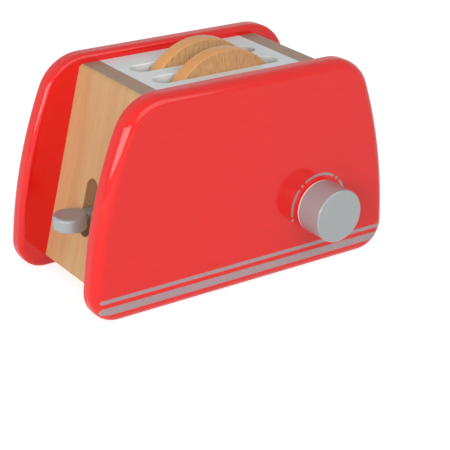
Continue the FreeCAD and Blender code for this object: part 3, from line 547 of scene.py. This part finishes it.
def cross_head(form, radius, share, depth, sides):
    """A round screw head seen from above, centred on the origin at z = 0, with a cross recess.
    Gives the edge loop of its rim."""
    reach = radius * share
    grid = bmesh.ops.create_grid(form, x_segments=3, y_segments=3, size=reach)["verts"]
    for vertex in grid:
        for axis in (0, 1):
            if abs(vertex.co[axis]) < reach - MERGE_DISTANCE:
                vertex.co[axis] *= ARM_SHARE
    corners = [face for face in form.faces
               if all(abs(axis) > MERGE_DISTANCE for axis in face.calc_center_median().xy)]
    bmesh.ops.delete(form, geom=corners, context="FACES")
    cross = form.faces[:]
    rim = bmesh.ops.create_circle(form, radius=radius, segments=sides)["verts"]
    circle_edges = [edge for edge in form.edges if edge.verts[0] in rim]
    cross_edges = [edge for edge in form.edges if len(edge.link_faces) == 1]
    bmesh.ops.bridge_loops(form, edges=circle_edges + cross_edges)
    sunk = bmesh.ops.extrude_face_region(form, geom=cross)["geom"]
    bmesh.ops.delete(form, geom=cross, context="FACES_ONLY")
    floor = [item for item in sunk if isinstance(item, bmesh.types.BMVert)]
    bmesh.ops.translate(form, verts=floor, vec=(0, 0, -depth))
    bmesh.ops.scale(form, verts=floor, vec=(FLOOR_SHARE, FLOOR_SHARE, 1))
    return circle_edges


def carry_on(form, edges, radius, drop):
    """Extrudes a ring of edges about Z down to a new radius and gives the new ring."""
    grown = bmesh.ops.extrude_edge_only(form, edges=edges)["geom"]
    points = [item for item in grown if isinstance(item, bmesh.types.BMVert)]
    share = radius / points[0].co.xy.length
    bmesh.ops.scale(form, verts=points, vec=(share, share, 1))
    bmesh.ops.translate(form, verts=points, vec=(0, 0, -drop))
    return [item for item in grown if isinstance(item, bmesh.types.BMEdge)
            and all(vertex in points for vertex in item.verts)]


def screw_form(head, shank, whole_length, pan_height=0.0):
    """A cross-head screw that points down from z = 0: countersunk, or with a domed pan head."""
    small = settings().small
    form = bmesh.new()
    if pan_height:
        ring = cross_head(form, head * PAN_TOP_SHARE, small.recess_share * PAN_RECESS,
                          small.recess_depth, small.sides)
        for share, drop in PAN_STEPS:
            ring = carry_on(form, ring, head * share, pan_height * drop)
        ring = carry_on(form, ring, shank / 2, 0)
        ring = carry_on(form, ring, shank / 2, whole_length - shank / 2)
    else:
        chamfer = head / 2 * CHAMFER_SHARE
        ring = cross_head(form, head / 2 - chamfer, small.recess_share, small.recess_depth, small.sides)
        ring = carry_on(form, ring, head / 2, chamfer)
        ring = carry_on(form, ring, shank / 2, (head - shank) / 2)
        ring = carry_on(form, ring, shank / 2, whole_length - head / 2)
    carry_on(form, ring, MERGE_DISTANCE / 4, shank / 2)
    return form


def placed(form, place):
    bmesh.ops.transform(form, matrix=place, verts=form.verts)
    return form


def make_screws():
    """The countersunk screws of the base and the lever and the pan-head screw of the dial."""
    material = bpy.data.materials.get("steel") or steel(settings().colours)
    small = settings().small
    upwards = Matrix.Rotation(math.pi, 4, "X")
    for name, body, head, shank, turn in (
        ("base_screws", "body", small.base_head, small.base_shank, upwards),
        ("lever_screws", "lift", small.lever_head, small.lever_shank, Matrix.Identity(4)),
    ):
        low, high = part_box(name)
        level = low.z if turn is upwards else high.z
        rows = {low.x + head / 2, high.x - head / 2}
        columns = {round(low.y + head / 2, 6), round(high.y - head / 2, 6)}
        forms = []
        for count, (x, y) in enumerate((x, y) for x in sorted(rows) for y in sorted(columns)):
            twist = Matrix.Rotation(math.radians(FIRST_TWIST + NEXT_TWIST * count), 4, "Z")
            place = Matrix.Translation((x, y, level)) @ turn @ twist
            forms.append(placed(screw_form(head, shank, high.z - low.z), place))
        piece = new_piece(f"{name}_cross", merged(forms), material, body)
        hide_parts(name)
    low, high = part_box("dial_screw")
    middle = (low + high) / 2
    backwards = Matrix.Rotation(math.radians(-90), 4, "X")
    place = (Matrix.Translation((middle.x, high.y, middle.z)) @ backwards
             @ Matrix.Rotation(math.radians(DIAL_TWIST), 4, "Z"))
    shank_length = high.y - low.y - small.pan_height
    form = screw_form(high.x - low.x, small.dial_shank, shank_length, small.pan_height)
    piece = new_piece("dial_screw_cross", placed(form, place), material, "dial")
    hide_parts("dial_screw")


# Stage

def add_object(name, data):
    made = bpy.data.objects.new(name, data)
    bpy.context.scene.collection.objects.link(made)
    return made


def aimed(place, target):
    """A placement that looks from a place at a target."""
    turn = (Vector(target) - Vector(place)).to_track_quat("-Z", "Y")
    return Matrix.Translation(place) @ turn.to_matrix().to_4x4()


def soft_lamp(name, place, target, width, height, watts):
    lamp = bpy.data.lights.new(name, "AREA")
    lamp.shape = "RECTANGLE"
    lamp.size = width
    lamp.size_y = height
    lamp.energy = watts
    add_object(name, lamp).matrix_world = aimed(place, target)


def make_camera(stage):
    lens = bpy.data.cameras.new("camera")
    lens.lens = stage.lens
    camera = add_object("camera", lens)
    turn = (Matrix.Rotation(-stage.yaw, 4, "Z") @ Matrix.Rotation(math.pi / 2 - stage.pitch, 4, "X")
            @ Matrix.Rotation(stage.roll, 4, "Z"))
    camera.matrix_world = Matrix.Translation(stage.eye) @ turn
    bpy.context.scene.camera = camera


def seen_directly(paint):
    """1 where the camera, a gloss or a clear material looks at the surface, else 0."""
    kinds = [paint.node("LightPath", {}, {}, output=kind)
             for kind in ("Is Camera Ray", "Is Glossy Ray", "Is Transmission Ray")]
    return kinds[0].maths("MAXIMUM", kinds[1]).maths("MAXIMUM", kinds[2])


FLOOR_REACH = 3.0
FLOOR_TONES = ((0.82, 0.82, 0.82), (0.8, 0.8, 0.8))


def make_floor(stage):
    """A pale floor that the camera sees as white, with the toaster's shadow left on it."""
    form = bmesh.new()
    bmesh.ops.create_grid(form, x_segments=1, y_segments=1, size=FLOOR_REACH)
    mesh = bpy.data.meshes.new("floor")
    form.to_mesh(mesh)
    form.free()
    floor = add_object("floor", mesh)
    paint = Paint("floor_paper")
    fibre = paint.noise(paint.place().stretched(40, 40, 40))
    base = paint.blend(fibre, *FLOOR_TONES)
    glow = paint.blend(seen_directly(paint), (0, 0, 0), (stage.floor_glow,) * 3)
    mesh.materials.append(paint.finish(base_color=base, roughness=0.9, specular_ior_level=0.0,
                                       emission_color=glow, emission_strength=1.0))


def make_surroundings(stage):
    """White to look at, softer as a light."""
    world = bpy.data.worlds.new("surroundings")
    bpy.context.scene.world = world
    paint = Paint(owner=world, shader="Background")
    strength = paint.node("MapRange", {}, {"Value": seen_directly(paint), "To Min": stage.surround,
                                           "To Max": 1.0})
    paint.finish(color=(1, 1, 1), strength=strength)


KEY_WIDTH = 2.0
KEY_HEIGHT = 1.4
SIDE_WIDTH = 1.85
SIDE_HEIGHT = 0.7


def make_stage():
    stage = settings().stage
    bpy.context.scene.view_settings.view_transform = "Standard"
    make_camera(stage)
    make_floor(stage)
    make_surroundings(stage)
    soft_lamp("key_lamp", stage.key_place, stage.lamp_target, KEY_WIDTH, KEY_HEIGHT, stage.key)
    soft_lamp("side_lamp", stage.side_place, stage.lamp_target, SIDE_WIDTH, SIDE_HEIGHT, stage.side)


# Operators

class TOASTER_OT_side_panels(Operator):
    """Lacquers the two side panels red"""
    bl_idname = "toaster.side_panels"
    bl_label = "Lacquer Side Panels"

    def execute(self, context):
        coat(red_lacquer(settings().colours), "front_side_panel", "rear_side_panel")
        return {"FINISHED"}


class TOASTER_OT_boards(Operator):
    """Varnishes the beech boards, battens, posts and dowels"""
    bl_idname = "toaster.boards"
    bl_label = "Varnish Boards"

    def execute(self, context):
        colours = settings().colours
        for name, turn in (("lever_end_panel", BOARD_LEAN), ("plain_end_panel", -BOARD_LEAN)):
            coat(beech(f"{name}_beech", colours, "Z", turn, BOARD_TOP_Z), name)
        coat(beech("upright_beech", colours, "Z"), "lever_side_post", "dial_side_post")
        coat(beech("lengthwise_beech", colours, "X"), "base_panel", "front_base_cleat", "rear_base_cleat",
             "lift_board")
        coat(beech("crosswise_beech", colours, "Y"), "front_joint_dowels", "rear_joint_dowels", "dial_axle")
        return {"FINISHED"}


class TOASTER_OT_top_board(Operator):
    """Paints the slotted top board white"""
    bl_idname = "toaster.top_board"
    bl_label = "Paint Top Board"

    def execute(self, context):
        coat(white_paint(settings().colours), "top_panel")
        return {"FINISHED"}


class TOASTER_OT_controls(Operator):
    """Sprays the lever and the dial silver"""
    bl_idname = "toaster.controls"
    bl_label = "Spray Lever and Dial"

    def execute(self, context):
        coat(silver_paint("lever_silver", settings().colours), "lever")
        coat(silver_paint("dial_silver", settings().colours, KNOB_HIGH.y), "dial_knob")
        return {"FINISHED"}


class TOASTER_OT_slices(Operator):
    """Makes the two toast slices with softened edges"""
    bl_idname = "toaster.slices"
    bl_label = "Make Toast Slices"

    def execute(self, context):
        make_slices()
        return {"FINISHED"}


class TOASTER_OT_stripes(Operator):
    """Prints the two stripes along the foot of the front panel"""
    bl_idname = "toaster.stripes"
    bl_label = "Print Stripes"

    def execute(self, context):
        make_stripes()
        return {"FINISHED"}


class TOASTER_OT_dial_scale(Operator):
    """Prints the arcs and dots round the dial"""
    bl_idname = "toaster.dial_scale"
    bl_label = "Print Dial Scale"

    def execute(self, context):
        make_dial_scale()
        return {"FINISHED"}


class TOASTER_OT_fasteners(Operator):
    """Makes the cross-head screws and plates them and the washer"""
    bl_idname = "toaster.fasteners"
    bl_label = "Make Fasteners"

    def execute(self, context):
        make_screws()
        coat(bpy.data.materials["steel"], "dial_washer")
        return {"FINISHED"}


class TOASTER_OT_stage(Operator):
    """Sets up the camera, the floor, the white surroundings and the lamps"""
    bl_idname = "toaster.stage"
    bl_label = "Set Up Stage"

    def execute(self, context):
        make_stage()
        return {"FINISHED"}


STEPS = (TOASTER_OT_stage, TOASTER_OT_side_panels, TOASTER_OT_boards, TOASTER_OT_top_board,
         TOASTER_OT_controls, TOASTER_OT_slices, TOASTER_OT_stripes, TOASTER_OT_dial_scale,
         TOASTER_OT_fasteners)


class TOASTER_PT_pieces(Panel):
    """Lists the steps that finish the toaster"""
    bl_idname = "TOASTER_PT_pieces"
    bl_label = "Toy Toaster"
    bl_space_type = "VIEW_3D"
    bl_region_type = "UI"
    bl_category = "Toaster"

    def draw(self, context):
        for step in STEPS:
            self.layout.operator(step.bl_idname)
        for name in ("colours", "prints", "small", "stage"):
            group = getattr(settings(), name)
            box = self.layout.box()
            for field in group.__annotations__:
                box.prop(group, field)


GROUPS = (ToasterColours, PrintSizes, SmallParts, StageSettings, ToasterSettings)


def register():
    for each in (*GROUPS, *STEPS, TOASTER_PT_pieces):
        bpy.utils.register_class(each)
    bpy.types.Scene.toy_toaster = PointerProperty(type=ToasterSettings)


def unregister():
    del bpy.types.Scene.toy_toaster
    for each in reversed((*GROUPS, *STEPS, TOASTER_PT_pieces)):
        bpy.utils.unregister_class(each)


def main():
    register()
    for step in STEPS:
        group, name = step.bl_idname.split(".")
        getattr(getattr(bpy.ops, group), name)()


if __name__ == "__main__":
    main()
